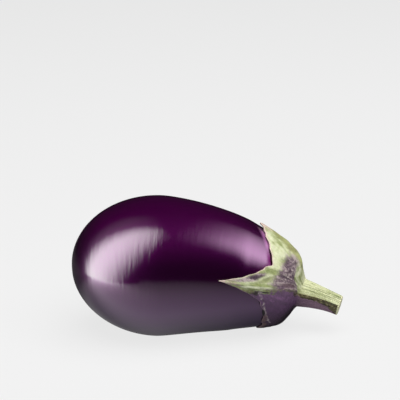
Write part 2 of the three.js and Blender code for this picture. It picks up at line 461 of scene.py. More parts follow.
stalk_length = np.linalg.norm(STALK_END - STALK_FOOT)
stalk_tangent = unit(STALK_END - STALK_FOOT)
stalk_front = unit(np.cross(stalk_tangent, UPWARDS))
stalk_top = np.cross(stalk_front, stalk_tangent)


def on_stalk(column, climb, share):
    """Points of the stalk: climb goes from foot to cut, and share from the middle to the outside."""
    rest = 1 - climb
    middle = (
        STALK_FOOT * (rest**2)[..., None]
        + STALK_BEND * (2 * rest * climb)[..., None]
        + STALK_END * (climb**2)[..., None]
    )
    taper = blend(STALK_FOOT_RADIUS, STALK_END_RADIUS, np.sin(climb * pi / 2))
    fine = FINE_RIB_HEIGHT * ripple(column["turn"] + RIBS_WANDER * climb, FINE_RIBS, 2)
    radius = share * (taper * (1 + STALK_RIDGE * (column["near_rib"] - 0.5)) + fine)
    top = stalk_top * np.cos(column["leaves"])[..., None]
    front = stalk_front * np.sin(column["leaves"])[..., None]
    return middle + (top + front) * radius[..., None]


def on_cut(column, share):
    """The dried face of the cut: sunken in the middle, with a raised woody ring."""
    ring_at, ring_width, ring_height = WOODY_RING
    ring = ring_height * near(share, ring_at, ring_width)
    rough = CUT_ROUGHNESS * share * ripple(column["turn"] + share, CUT_WAVES, 3)
    depth = ring + rough - CUT_HOLLOW * (1 - share**2)
    flat = on_stalk(column, np.ones_like(share), share * (1 - CUT_BEVEL / STALK_END_RADIUS))
    return flat + stalk_tangent * np.minimum(depth, 0)[..., None]


def on_bevel(column, share):
    climb = 1 - share * CUT_BEVEL / stalk_length
    return on_stalk(column, climb, 1 - (1 - share) * CUT_BEVEL / STALK_END_RADIUS)


def down_stalk(column, share):
    return on_stalk(column, (1 - share) * (1 - CUT_BEVEL / stalk_length), np.ones_like(share))


# %% [markdown]
# A sepal is a thick leaf that hugs the fruit. Its rib is a keel that fades towards the tip, side veins leave
# the rib like the bones of a fish, and its margin dries first, so it thins, waves and stands off a little.
# All of that is a height above the skin. A low swelling between the veins keeps the surface alive where the
# light rakes over it.

# %% Rules for the cap, the sepals and the flare
VEINS = 6  # side veins on each side of a rib
VEIN_LEAN = 2.2  # how far a vein runs on towards the tip before it meets the edge
VEIN_HEIGHT = 0.22  # mm
SWELL_HEIGHT = 0.22
SWELL_WAVES = (9, 14, 21)
SWELL_LEAN = 0.05  # turns that a swelling drifts from cap to edge
SWELL_ALONG, SWELL_ROUND = 7, 9  # radians from cap to edge and round the calyx
FRILL = 0.4  # mm by which the margin waves up off the skin
FRILL_WAVES = (13, 22, 31)
FRILL_RAISED = 0.6  # of a wave, so that more of the margin stands off than lies flat
ARM = 0.05  # share of a stretch that a direction is measured over


def on_sepal(column, share, thick):
    """Points of the sepals, a share of the way from cap to edge; thick is 1 on the outside and 0 inside."""
    near_rib = column["near_rib"]
    reach = blend(CAP_REACH, column["reach"], share)
    angle = blend(column["leaves"], column["angle"], 1 - (1 - share) ** SPREAD)
    climb = np.maximum(0, (near_rib - 1 + KEEL_SHARE) / KEEL_SHARE)
    keel = KEEL * climb**1.5 * blend(1, KEEL_AT_TIP, share)
    bulge = near(reach, CAP_REACH, KNUCKLE_REACH) * blend(-HOLLOW, column["knuckle"], near_rib)
    thickness = blend(CAP_THICKNESS, RIM_THICKNESS, share) + keel + bulge
    middle = between(share, 0, 0.25, 0.8, 1)
    vein = np.maximum(0, np.cos(2 * pi * (VEINS * share - VEIN_LEAN * (1 - near_rib)))) ** 4
    swell = ripple(column["turn"] + SWELL_LEAN * share, SWELL_WAVES, 4)
    swell = swell * np.sin(SWELL_ALONG * share + SWELL_ROUND * column["turn"])
    relief = middle * (VEIN_HEIGHT * vein * (1 - climb) + SWELL_HEIGHT * swell)
    frill = FRILL * share**8 * (FRILL_RAISED + ripple(column["turn"], FRILL_WAVES, 5)) * (column["lift"] > 0)
    lift = column["lift"] * (near_rib * share) ** 3 + np.maximum(frill, 0)
    return over_skin(reach, angle, blend(GAP, RIM_GAP, share**4) + lift + (thickness + relief) * thick)


def on_flare(column, share):
    """The stalk flares into the cap on a curve that leaves down its side and arrives out over the cap."""
    stalk_end = np.zeros_like(share)
    whole = np.ones_like(share)
    top = on_stalk(column, stalk_end, whole)
    bottom = on_sepal(column, stalk_end, whole)
    upward = unit(on_stalk(column, ARM * whole, whole) - top)
    outward = unit(on_sepal(column, ARM * whole, whole) - bottom)
    return bezier([top, top - FLARE_HOLDS_STALK * upward, bottom - FLARE_HOLDS_CAP * outward, bottom], share)


def under_cap(column, share):
    return over_skin(CAP_REACH * (1 - share), column["leaves"], np.full_like(share, GAP))


# %% [markdown]
# The grid's rows are shared out among the stretches, with more rows where there is more to see. Two numbers
# are kept for the finish: the turn round the calyx and the way down a column, where 0 to 1 is the stalk from
# cut to foot, 1 to 2 the flare, 2 to 3 the outside of the sepals and 3 to 4 all that lies under them.

# %% Wrap the grid
STRETCHES = [  # rows, the rule for their points, and where the way down begins and ends
    (6, on_cut, (-1, 0)),
    (2, on_bevel, (0, 0.04)),
    (16, down_stalk, (0.04, 1)),
    (14, on_flare, (1, 2)),
    (34, lambda column, share: on_sepal(column, share, 1), (2, 3)),
    (2, lambda column, share: on_sepal(column, np.ones_like(share), 1 - share), (3, 3.1)),
    (14, lambda column, share: on_sepal(column, 1 - share, 0), (3.1, 3.8)),
    (6, under_cap, (3.8, 4)),
]
ROWS = sum(rows for rows, _, _ in STRETCHES)
COLUMNS_A_SIDE = 20
COLUMNS = COLUMNS_A_SIDE * SIDES

bm = bmesh.new()
bmesh.ops.create_grid(bm, x_segments=ROWS, y_segments=COLUMNS, size=0.5)
flat = vertex_places(bm) + 0.5  # from 0 to 1 both ways
row = np.round(flat[:, 0] * ROWS).astype(int)
turn = np.round(flat[:, 1] * COLUMNS) / COLUMNS % 1
wrapped = np.zeros_like(flat)
way_down = np.zeros(len(flat))
first_row = 0
for rows, rule, (way_from, way_to) in STRETCHES:
    here = (row >= first_row) & (row <= first_row + rows)
    share = (row[here] - first_row) / rows
    wrapped[here] = rule(column_at(turn[here]), share)
    way_down[here] = blend(way_from, way_to, share)
    first_row += rows
print("grid of", ROWS, "rows and", COLUMNS, "columns")

# %% [markdown]
# ## Where the finishes lie on the calyx
#
# A calyx isn't coloured evenly. One side of the upper rib is browner than the other, the hollow between two
# ribs turns to cork, and a dark band runs beside the purple underside. Some masks paint light and shade too:
# painted shade beside the ribs, under a ridge and in a gap, and painted light at the neck and on the ridge.
# Painting that by hand would need an image. Masks don't: each is a number at every vertex, and the shader
# blends two colours by it. A mask is drawn in turns round the calyx and ways down it. A border that runs
# down the calyx is a list of turns at ways down it, and one that runs round the calyx is a list of ways
# down at turns.

# %% Borders of the finishes
UPPER_RIB, FRONT_RIB = 0.1, 0.3  # turns
FAR_SIDE = 0.96  # turns; the underside's border on the far side lies at this less the near one's turn
BAND_STARTS = [
    (0, 0.280), (1.0, 0.292), (1.25, 0.302), (1.75, 0.312), (2.0, 0.309),
    (2.15, 0.305), (2.4, 0.314), (2.6, 0.319), (2.78, 0.328), (3.1, 0.335),
]
PURPLE_STARTS = [
    (0, 0.50), (0.1, 0.46), (0.35, 0.375), (0.6, 0.350), (1.0, 0.338), (1.5, 0.330), (1.75, 0.323),
    (2.0, 0.314), (2.15, 0.311), (2.4, 0.319), (2.6, 0.326), (2.78, 0.342), (3.1, 0.350),
]
HOLLOW_STARTS = [(0.10, 2.06), (0.165, 2.02), (0.19, 1.96), (0.21, 1.7), (0.24, 1.5), (0.31, 1.45)]
HOLLOW_ENDS = [
    (0.10, 2.05), (0.14, 2.25), (0.17, 2.45), (0.205, 2.6), (0.25, 2.46), (0.28, 2.36), (0.32, 2.2),
]
SCAR_LINE = [
    (0.326, 2.52), (0.348, 2.66), (0.361, 2.76), (0.376, 2.88), (0.40, 2.93), (0.413, 2.88), (0.434, 2.72),
]


def border(pairs, place):
    return np.interp(place, *zip(*pairs))


def spot(at_turn, at_way, wide, long):
    return near(turn, at_turn, wide) * near(way_down, at_way, long)


mirrored = np.where(turn < 0.5, turn, FAR_SIDE - turn)
past_band = mirrored - border(BAND_STARTS, way_down)
past_border = mirrored - border(PURPLE_STARTS, way_down)
hollow_starts, hollow_ends = border(HOLLOW_STARTS, turn), border(HOLLOW_ENDS, turn)
print("the underside is", round(100 * np.mean(past_border > 0)), "percent of the vertices")

# %% Masks for the finishes of the calyx
STALK_TURNS = 12.0  # mm, the radius that the stalk is unrolled at, for its grain
WAY_LENGTH = 20  # mm that the grain runs on in one way down

outside = ease(way_down, 3.12, 3.02)
tip = ease(column_at(turn)["near_rib"], 0.55, 0.9) * ease(way_down, 2.5, 2.88)
on_rim = spot(0.262, 2.84, 0.026, 0.13)  # the corky patch on the front sepal's upper margin
hollow = between(way_down, hollow_starts - 0.15, hollow_starts + 0.15, hollow_ends - 0.15, hollow_ends + 0.2)
hollow = hollow * between(turn, 0.095, 0.135, 0.325, 0.345)
scarred = near(way_down, border(SCAR_LINE, turn), 0.055) * between(turn, 0.315, 0.335, 0.43, 0.445)
grain = [STALK_TURNS * np.cos(2 * pi * turn), STALK_TURNS * np.sin(2 * pi * turn), WAY_LENGTH * way_down]
masks = {
    "past_band": past_band,  # in turns, as the next one is; the others go from 0 to about 1
    "past_border": past_border,
    "hollow": np.maximum(hollow, 1.15 * on_rim),
    # a pale, dry ridge above the band, made paler still as painted light
    "dry_ridge_painted_light": near(past_band, -0.009, 0.008) * between(way_down, 2.2, 2.4, 2.75, 2.9),
    # a painted shadow line below the border of the purple underside
    "painted_shadow_line": near(past_border, 0.007, 0.006) * between(way_down, 2.3, 2.42, 2.8, 2.92),
    # painted light on the neck, where the stalk flares into the cap
    "neck_painted_light": spot(0.140, 1.72, 0.032, 0.17),
    # painted shade beside the ribs, on the front sepal and on the flare
    "rib_painted_shade": spot(0.274, 2.06, 0.020, 0.25),
    "side_painted_shade": spot(0.262, 2.58, 0.028, 0.14) + spot(0.262, 1.2, 0.034, 0.3) + spot(0.148, 1.2, 0.014, 0.3),
    "upper_rib": near(turn, UPPER_RIB, 0.018) * between(way_down, 1.45, 1.75, 2.6, 2.95),
    "browner_side": ease(turn, UPPER_RIB - 0.012, UPPER_RIB - 0.03) * ease(way_down, 1.95, 2.15) * outside,
    "margin": np.maximum(ease(way_down, 2.93, 2.99), 0.85 * tip) * outside * (1 - on_rim),
    "shade_side": ease(turn, FRONT_RIB, FRONT_RIB + 0.02),
    "brown": between(turn, 0.396, 0.412, 0.46, 0.49) * ease(way_down, 2.72, 2.9),
    "scarred": scarred,
    # a gap between two sepals, painted black as shade
    "gap_painted_black": spot(0.404, 3.0, 0.010, 0.10),
    "stalk_side": ease(way_down, 1.5, 1.1),
    "cut": ease(way_down, 0.08, 0.02),
    "turn": turn,
    "way_down": way_down,
    "grain": np.stack(grain, axis=-1) * MM,
}
for name, values in masks.items():
    keep(bm, name, values)
calyx = finish_piece("calyx_and_stalk_skin", bm, wrapped + TO_CAD)

# %% [markdown]
# ## Colours and nodes
#
# Colours are written as they are seen on a screen, in sRGB hex, and turned to the linear values that light
# adds up in. Each material is a small tree of nodes, and one helper adds a node: it gives it its settings,
# the stops of its colour ramp if it has one, and for each of its sockets either a value or a link.

# %% Helpers for materials
FACTOR, COLOUR_A, COLOUR_B, MIXED = 0, 6, 7, 2  # sockets of a Mix node that mixes colours


def linear(hex_colour):
    """The linear colour of a hex sRGB colour, with alpha."""
    values = [int(hex_colour[place : place + 2], 16) / 255 for place in (1, 3, 5)]
    return [*(v / 12.92 if v <= 0.04045 else ((v + 0.055) / 1.055) ** 2.4 for v in values), 1]


def add_node(tree, kind, sockets=None, stops=None, **settings):
    """Adds a node with its settings; a socket gets a value, or a link where it is given an output."""
    node = tree.nodes.new("ShaderNode" + kind)
    for name, value in settings.items():
        setattr(node, name, value)
    for name, value in (sockets or {}).items():
        if isinstance(value, bpy.types.NodeSocket):
            tree.links.new(value, node.inputs[name])
        else:
            node.inputs[name].default_value = value
    if stops:
        elements = node.color_ramp.elements
        for place, colour in stops[2:]:
            elements.new(place)
        for element, (place, colour) in zip(elements, stops):
            element.position = place
            element.color = linear(colour)
    return node


def new_material(name, piece):
    """A material with an empty node tree, put on a piece."""
    material = bpy.data.materials.new(name)
    material.use_nodes = True
    material.node_tree.nodes.clear()
    piece.data.materials.append(material)
    return material.node_tree


# %% [markdown]
# ## Waxy skin
#
# An eggplant's skin is a dark magenta-purple pigment under a clear layer of cutin, the plant's own wax. The
# pigment lets a little light back in its own colour, wide and soft, and the wax mirrors the room in white.
# So the shader has two gloss layers: a rough one tinted purple, with an IOR of 1.42 as plant cells have, and
# a smooth clear coat. Cutin has an IOR of 1.5, and the coat has 1.6, because this skin is polished. Fine
# ripples run round the fruit, where the skin stretched as it grew, and break up the border of a reflection.
# They and the broad dents are a bump and not geometry, because they are under a quarter of a millimetre
# high.

# %% Relief of the skin
STREAK_LENGTH, STREAK_WIDTH, STREAK_HEIGHT = 0.016, 0.0022, 0.00020  # metres, as the shader needs them
DENT_WIDTH, DENT_HEIGHT = 0.022, 0.0002
SHOULDER_FROM, BELLY_FROM = 0.085, 0.06  # from the blossom end
SHOULDER_STREAKS, BELLY_STREAKS = 0.2, 0.8  # strength of the streaks at both

tree = new_material("waxy_eggplant_skin", fruit)
straight = add_node(tree, "Attribute", attribute_name="straight").outputs["Vector"]
streak_place = add_node(
    tree,
    "Mapping",
    {"Vector": straight, "Scale": (1 / STREAK_WIDTH, 1 / STREAK_LENGTH, 1 / STREAK_LENGTH)},
)
streaks = add_node(
    tree, "TexNoise", {"Vector": streak_place.outputs["Vector"], "Scale": 1.0, "Detail": 3.0}
)
dents = add_node(tree, "TexNoise", {"Vector": straight, "Scale": 1 / DENT_WIDTH, "Detail": 1.0})
dented = add_node(
    tree, "Bump", {"Strength": 1.0, "Distance": DENT_HEIGHT, "Height": dents.outputs["Fac"]}
)
on_belly = add_node(
    tree,
    "MapRange",
    {
        "Value": add_node(tree, "SeparateXYZ", {"Vector": straight}).outputs["X"],
        "From Min": SHOULDER_FROM,
        "From Max": BELLY_FROM,
        "To Min": SHOULDER_STREAKS,
        "To Max": BELLY_STREAKS,
    },
)
streaked = add_node(
    tree,
    "Bump",
    {
        "Strength": on_belly.outputs["Result"],
        "Distance": STREAK_HEIGHT,
        "Height": streaks.outputs["Fac"],
        "Normal": dented.outputs["Normal"],
    },
)
print("skin streaks", round(STREAK_WIDTH / MM, 1), "mm wide")

# %% [markdown]
# The skin's colour changes with height as painted light: bluest low down, darkest at half height, and
# redder and lighter on top, where the overhead light falls. Three things lie over it. Beside the upper
# sepal runs a paler strip, which the sepal kept the sun off. In the notch between the upper sepal and the
# front one, the crevice is painted dark red-brown as shade. And at the blossom end is the corky brown scar
# of the flower. The painted shade in the notch and the cork get no clear coat, so it ends where they begin.

# %% Colour and gloss of the skin
SKIN_TOP = 0.0865  # metres above the table
STRIP_ENDS, STRIP_FULL = 0.0042, 0.0010  # metres past the calyx
# where the painted shade in the notch ends and where it is full, in metres past the calyx
CREVICE_ENDS, CREVICE_FULL = 0.0045, 0.0015
SCAR_GRAIN = 0.002
GRAIN_SHARE, SCAR_STARTS, SCAR_FULL = 0.8, 0.95, 1.15  # the grain's part in the scar's border, and its ends

height = add_node(tree, "SeparateXYZ", {"Vector": add_node(tree, "TexCoord").outputs["Object"]})
how_high = add_node(
    tree, "MapRange", {"Value": height.outputs["Z"], "From Min": 0.0, "From Max": SKIN_TOP}
)
# painted light by height over the purple: bluest low down, darkest at half height, redder and lighter on top
pigment_with_painted_light = add_node(
    tree,
    "ValToRGB",
    {"Fac": how_high.outputs["Result"]},
    stops=[(0.30, "#130128"), (0.50, "#0b0009"), (0.65, "#11000f"), (0.85, "#260022")],
)
past_calyx = add_node(tree, "Attribute", attribute_name="past_calyx").outputs["Fac"]
beside_sepal = add_node(
    tree,
    "MapRange",
    {"Value": past_calyx, "From Min": STRIP_ENDS, "From Max": STRIP_FULL},
    interpolation_type="SMOOTHSTEP",
)
sheltered = add_node(tree, "Attribute", attribute_name="sheltered").outputs["Fac"]
paler = add_node(tree, "Math", {0: beside_sepal.outputs["Result"], 1: sheltered}, operation="MULTIPLY")
in_crevice = add_node(
    tree,
    "MapRange",
    {"Value": past_calyx, "From Min": CREVICE_ENDS, "From Max": CREVICE_FULL},
    interpolation_type="SMOOTHSTEP",
)
# painted shade: the crevice in the notch between two sepals is coloured dark red-brown
notch_shade_place = add_node(tree, "Attribute", attribute_name="notch_shade_place").outputs["Fac"]
painted_notch_shade = add_node(tree, "Math", {0: in_crevice.outputs["Result"], 1: notch_shade_place}, operation="MULTIPLY")
scar_grain = add_node(tree, "TexNoise", {"Vector": straight, "Scale": 1 / SCAR_GRAIN, "Detail": 3.0})
at_scar = add_node(tree, "Attribute", attribute_name="at_scar").outputs["Fac"]
scar_border = add_node(
    tree, "Math", {0: scar_grain.outputs["Fac"], 1: GRAIN_SHARE, 2: at_scar}, operation="MULTIPLY_ADD"
)
on_scar = add_node(
    tree,
    "MapRange",
    {"Value": scar_border.outputs["Value"], "From Min": SCAR_STARTS, "From Max": SCAR_FULL},
    interpolation_type="SMOOTHSTEP",
)
colour = pigment_with_painted_light.outputs["Color"]
# over the colour: the paler strip, the painted shade in the notch, and the scar
for share, layer_colour in (
    (paler.outputs["Value"], "#7d4f78"),
    (painted_notch_shade.outputs["Value"], "#2a0f18"),
    (on_scar.outputs["Result"], "#6b4c3a"),
):
    layered = add_node(
        tree,
        "Mix",
        {FACTOR: share, COLOUR_A: colour, COLOUR_B: linear(layer_colour)},
        data_type="RGBA",
    )
    colour = layered.outputs[MIXED]
dull = add_node(
    tree, "Math", {0: painted_notch_shade.outputs["Value"], 1: on_scar.outputs["Result"]}, operation="MAXIMUM"
)
waxed = add_node(tree, "Math", {0: 1, 1: dull.outputs["Value"]}, operation="SUBTRACT")
skin_shader = add_node(
    tree,
    "BsdfPrincipled",
    {
        "Base Color": colour,
        "Roughness": 0.34,
        "IOR": 1.42,
        "Specular Tint": linear("#ff20ff"),
        "Coat Weight": waxed.outputs["Value"],
        "Coat Roughness": 0.12,
        "Coat IOR": 1.6,
        "Normal": dented.outputs["Normal"],
        "Coat Normal": streaked.outputs["Normal"],
    },
)
add_node(tree, "OutputMaterial", {"Surface": skin_shader.outputs["BSDF"]})
print("skin material of", len(tree.nodes), "nodes")

# %% [markdown]
# ## Calyx and stalk
#
# The calyx is green leaf tissue that is turning corky. It is matt: a roughness of 0.6 and an IOR of 1.4 are
# usual for a leaf. Three noises give it life. Fibres run down each column, on the grain that was kept in the
# mesh, so they bend with the sepals. Cork crumbles evenly in all directions, and broad patches shift the
# colour. Real fibres lie about half a millimetre apart. They are drawn twice as coarse, because finer ones
# wouldn't show.

# %% Grain of the calyx
GRAIN_WIDTH, GRAIN_LENGTH, CORK_SIZE, PATCH_SIZE = 0.0011, 0.012, 0.0016, 0.007  # metres
CORK_IN_CRUMBS = 0.45  # the rest of a crumbled border is fibres

tree = new_material("corky_green_calyx", calyx)
place = add_node(tree, "TexCoord").outputs["Object"]
grain = add_node(tree, "Attribute", attribute_name="grain").outputs["Vector"]
grain_place = add_node(
    tree, "Mapping", {"Vector": grain, "Scale": (1 / GRAIN_WIDTH, 1 / GRAIN_WIDTH, 1 / GRAIN_LENGTH)}
).outputs["Vector"]
fibres = add_node(tree, "TexNoise", {"Vector": grain_place, "Scale": 1.0, "Detail": 4.0}).outputs["Fac"]
cork = add_node(
    tree, "TexNoise", {"Vector": place, "Scale": 1 / CORK_SIZE, "Detail": 4.0, "Roughness": 0.6}
).outputs["Fac"]
patches = add_node(
    tree, "TexNoise", {"Vector": place, "Scale": 1 / PATCH_SIZE, "Detail": 3.0}
).outputs["Fac"]
crumbled = add_node(
    tree, "Mix", {FACTOR: CORK_IN_CRUMBS, 2: fibres, 3: cork}, data_type="FLOAT"
).outputs["Result"]
print("fibres", round(GRAIN_WIDTH / MM, 1), "mm apart, cork crumbs", round(CORK_SIZE / MM, 1), "mm")

# %% [markdown]
# Some of the finishes have more than one colour. Green, olive, cork and the dark band run from dark to light
# with their noise. The purple underside has the same pigment as the skin; round the calyx it is painted
# darkest low down on the front as shade, and along the stalk it turns a lighter brownish mauve. The dry
# margin is a pinkish cream above the front sepal's rib, and below it a dull mauve that is the same margin
# painted in shade.

# %% Colours of the calyx that vary
STALK_PURPLE_STARTS, STALK_PURPLE_FULL = 1.5, 0.5  # ways down

green = add_node(
    tree, "ValToRGB", {"Fac": fibres}, stops=[(0.32, "#677345"), (0.46, "#8a9268"), (0.62, "#adb38c")]
).outputs["Color"]
olive = add_node(tree, "ValToRGB", {"Fac": patches}, stops=[(0.35, "#6c6c44"), (0.65, "#8d935f")])
cork_colour = add_node(
    tree, "ValToRGB", {"Fac": crumbled}, stops=[(0.40, "#352733"), (0.50, "#594c51"), (0.60, "#8e8480")]
)
band_colour = add_node(
    tree, "ValToRGB", {"Fac": crumbled}, stops=[(0.42, "#2a2518"), (0.53, "#575034"), (0.64, "#8f8a66")]
)
# round the calyx: the underside's purple, with painted shade that makes it darkest low on the front
underside_purple_and_shade = add_node(
    tree,
    "ValToRGB",
    {"Fac": add_node(tree, "Attribute", attribute_name="turn").outputs["Fac"]},
    stops=[(0.32, "#5e4361"), (0.40, "#442a49"), (0.47, "#1d121d"), (0.60, "#3c2340")],
)
on_stalk_side = add_node(
    tree,
    "MapRange",
    {
        "Value": add_node(tree, "Attribute", attribute_name="way_down").outputs["Fac"],
        "From Min": STALK_PURPLE_STARTS,
        "From Max": STALK_PURPLE_FULL,
    },
    interpolation_type="SMOOTHSTEP",
)
underside = add_node(
    tree,
    "Mix",
    {
        FACTOR: on_stalk_side.outputs["Result"],
        COLOUR_A: underside_purple_and_shade.outputs["Color"],
        COLOUR_B: linear("#745a6c"),
    },
    data_type="RGBA",
)
# the margin's lit colour and a copy of it in painted shade, below the front sepal's rib
margin = add_node(
    tree,
    "Mix",
    {
        FACTOR: add_node(tree, "Attribute", attribute_name="shade_side").outputs["Fac"],
        COLOUR_A: linear("#c8a9a9"),
        COLOUR_B: linear("#6d5566"),
    },
    data_type="RGBA",
)

# %% [markdown]
# The colour is built up in layers, as a painter glazes. First come pale and dark patches on the green, then
# the paler stalk, painted light on the neck, the olive rib, the browner side of the upper rib, painted
# shade beside the ribs, the corky hollow, and the dark band and the purple underside, with a pale, dry ridge
# above the band that is also painted light, and a painted shadow line below the border. Last come a scar,
# the margin, a brown stretch of it with a gap painted black as shade, and the cut. A layer covers where its
# mask plus a share of a noise is large enough, so its border crumbles as dry tissue does.

# %% Layers of the calyx's colour
LAYERS = [  # mask, noise in its border, share of the noise, where their sum starts and ends to cover, colour
    (None, patches, 1.0, 0.45, 0.75, linear("#b9bd9d")),
    (None, patches, -1.0, -0.53, -0.33, linear("#747d4c")),
    ("stalk_side", fibres, 2.0, 1.6, 2.3, linear("#b3b68f")),
    ("neck_painted_light", fibres, 1.2, 0.9, 1.4, linear("#b9bb9c")),
    ("upper_rib", fibres, 1.2, 0.85, 1.45, olive.outputs["Color"]),
    ("browner_side", crumbled, 2.0, 1.45, 2.15, linear("#918574")),
    ("side_painted_shade", crumbled, 1.6, 1.1, 1.7, linear("#7b8159")),
    ("hollow", crumbled, 2.2, 1.2, 1.9, cork_colour.outputs["Color"]),
    ("rib_painted_shade", crumbled, 1.6, 1.1, 1.7, linear("#46393c")),
    ("dry_ridge_painted_light", crumbled, 1.6, 1.0, 1.7, linear("#c2c6a6")),
    ("past_band", crumbled, 0.13, 0.052, 0.084, band_colour.outputs["Color"]),
    ("past_border", crumbled, 0.13, 0.064, 0.074, underside.outputs[MIXED]),
    ("painted_shadow_line", crumbled, 1.6, 1.0, 1.7, linear("#221a1c")),
    ("scarred", cork, 2.4, 1.75, 2.5, linear("#8b8082")),
    ("margin", cork, 0.8, 0.9, 1.5, margin.outputs[MIXED]),
    ("brown", cork, 1.6, 1.35, 2.1, linear("#55403f")),
    ("gap_painted_black", cork, 0.6, 0.7, 1.0, linear("#0b0707")),
    ("cut", cork, 0.3, 0.5, 0.9, linear("#b4b491")),
]
colour = green
for mask, noise, noise_share, starts, covers, layer_colour in LAYERS:
    wanted = 0.0 if mask is None else add_node(tree, "Attribute", attribute_name=mask).outputs["Fac"]
    broken = add_node(tree, "Math", {0: noise, 1: noise_share, 2: wanted}, operation="MULTIPLY_ADD")
    covering = add_node(
        tree,
        "MapRange",
        {"Value": broken.outputs["Value"], "From Min": starts, "From Max": covers},
        interpolation_type="SMOOTHSTEP",
    )
    layered = add_node(
        tree,
        "Mix",
        {FACTOR: covering.outputs["Result"], COLOUR_A: colour, COLOUR_B: layer_colour},
        data_type="RGBA",
    )
    colour = layered.outputs[MIXED]
print(len(LAYERS), "layers of colour over the green")

# %% [markdown]
# Creases, fibres and cork are all too small and too many to be modelled, so they are a bump. Three Bump
# nodes make a chain, each starting from the normal of the one before. A dry calyx has no wax, so it gets no
# clear coat.

# %% Relief and gloss of the calyx
CREASE_SIZE, CREASE_HEIGHT = 0.0045, 0.0014  # metres
FIBRE_HEIGHT, CORK_HEIGHT = 0.00022, 0.00022

creases = add_node(tree, "TexNoise", {"Vector": place, "Scale": 1 / CREASE_SIZE, "Detail": 2.0})
relief = None
for noise, high in ((creases.outputs["Fac"], CREASE_HEIGHT), (fibres, FIBRE_HEIGHT), (cork, CORK_HEIGHT)):
    sockets = {"Strength": 1.0, "Distance": high, "Height": noise}
    if relief:
        sockets["Normal"] = relief
    relief = add_node(tree, "Bump", sockets).outputs["Normal"]
calyx_shader = add_node(
    tree,
    "BsdfPrincipled",
    {"Base Color": colour, "Roughness": 0.6, "IOR": 1.4, "Normal": relief},
)
add_node(tree, "OutputMaterial", {"Surface": calyx_shader.outputs["BSDF"]})
print("creases up to", round(CREASE_HEIGHT / MM, 1), "mm deep")

# %% [markdown]
# ## The table
#
# The eggplant lies on a pale table of frosted acrylic that is lit from below, as product tables are. That
# takes nearly all of its shadow away. It is a plain flat sheet, large enough that no low view sees its edge.

# %% Table
TABLE_SIZE = 12.0
TABLE_DROP = 0.00002  # so that the flat spot and the table don't fight for the same plane
TABLE_GLOW = 0.78


def flat_sheet(name, width, depth, matrix):
    """A flat rectangle, put in its place by a matrix."""
    bm = bmesh.new()
    bmesh.ops.create_grid(bm, x_segments=1, y_segments=1, size=0.5)
    bmesh.ops.scale(bm, verts=bm.verts, vec=(width, depth, 1))
    mesh = bpy.data.meshes.new(name)
    bm.to_mesh(mesh)
    bm.free()
    sheet = bpy.data.objects.new(name, mesh)
    bpy.context.scene.collection.objects.link(sheet)
    sheet.matrix_world = matrix
    return sheet


table = flat_sheet("table", TABLE_SIZE, TABLE_SIZE, Matrix.Translation((0, 0, -TABLE_DROP)))
tree = new_material("frosted_acrylic_table", table)
table_shader = add_node(
    tree,
    "BsdfPrincipled",
    {
        "Base Color": linear("#4b4b4b"),
        "Roughness": 1.0,
        "Specular IOR Level": 0.0,
        "Emission Color": linear("#ffffff"),
        "Emission Strength": TABLE_GLOW,
    },
)
add_node(tree, "OutputMaterial", {"Surface": table_shader.outputs["BSDF"]})
print("table", TABLE_SIZE, "m wide")

# %% [markdown]
# ## What the skin mirrors
#
# A glossy dark thing shows its surroundings more than its own colour, so its highlights are made by placing
# what it should mirror. A narrow softbox stands close on the left and leans over the fruit. It is brightest
# low down. A rounder one hangs on the right. The cloth of both fades out towards its borders, and fast or
# slow is what makes a highlight's edge crisp or soft. Both are sheets that only the gloss sees.

# %% Softboxes
KEY_TARGET = Vector((-0.04, -0.02, 0.05))
KEY_WIDTH, KEY_HEIGHT, KEY_RAISED = 0.54, 0.94, 0.10
KEY_LEAN, NEAR_LEAN, FOOT_LEAN = 0.19, 0.12, 0.3  # slopes of the fades' borders
RIGHT_TARGET = Vector((0.03, -0.01, 0.06))
RIGHT_WIDTH, RIGHT_HEIGHT = 0.92, 0.86


def facing(target, azimuth, elevation, roll, distance, raised=0.0):
    """A place at a distance from a target, with its -Z axis pointing at it, moved up its own Y axis."""
    azimuth, elevation, roll = radians(azimuth), radians(elevation), radians(roll)
    away = Vector((cos(azimuth) * cos(elevation), sin(azimuth) * cos(elevation), sin(elevation)))
    level = Vector((0, 0, 1)).cross(away).normalized()
    across = cos(roll) * level + sin(roll) * away.cross(level)
    upright = away.cross(across)
    middle = target + distance * away + raised * upright
    return Matrix.Translation(middle) @ Matrix((across, upright, away)).transposed().to_4x4()


def only_for_gloss(sheet):
    """Hides a sheet from everything but mirror images."""
    sheet.visible_camera = False
    sheet.visible_diffuse = False
    sheet.visible_transmission = False
    sheet.visible_shadow = False


def softbox(name, width, height, matrix, colour, radiance, fades):
    """A glowing sheet. Each fade is a direction on it, where along it the cloth is dark and where full, and
    how much of the glow is left where it is dark."""
    sheet = flat_sheet(name, width, height, matrix)
    only_for_gloss(sheet)
    tree = new_material(name + "_cloth", sheet)
    place = add_node(tree, "TexCoord").outputs["Object"]
    strength = radiance
    for direction, dark, full, least in fades:
        along = add_node(tree, "VectorMath", {0: place, 1: direction}, operation="DOT_PRODUCT")
        share = add_node(
            tree,
            "MapRange",
            {"Value": along.outputs["Value"], "From Min": dark, "From Max": full, "To Min": least},
            interpolation_type="SMOOTHSTEP",
        )
        dimmed = add_node(tree, "Math", {0: strength, 1: share.outputs["Result"]}, operation="MULTIPLY")
        strength = dimmed.outputs["Value"]
    cloth = add_node(tree, "Emission", {"Color": colour, "Strength": strength})
    add_node(tree, "OutputMaterial", {"Surface": cloth.outputs["Emission"]})
    print(name, "at", [round(value, 2) for value in matrix.translation])


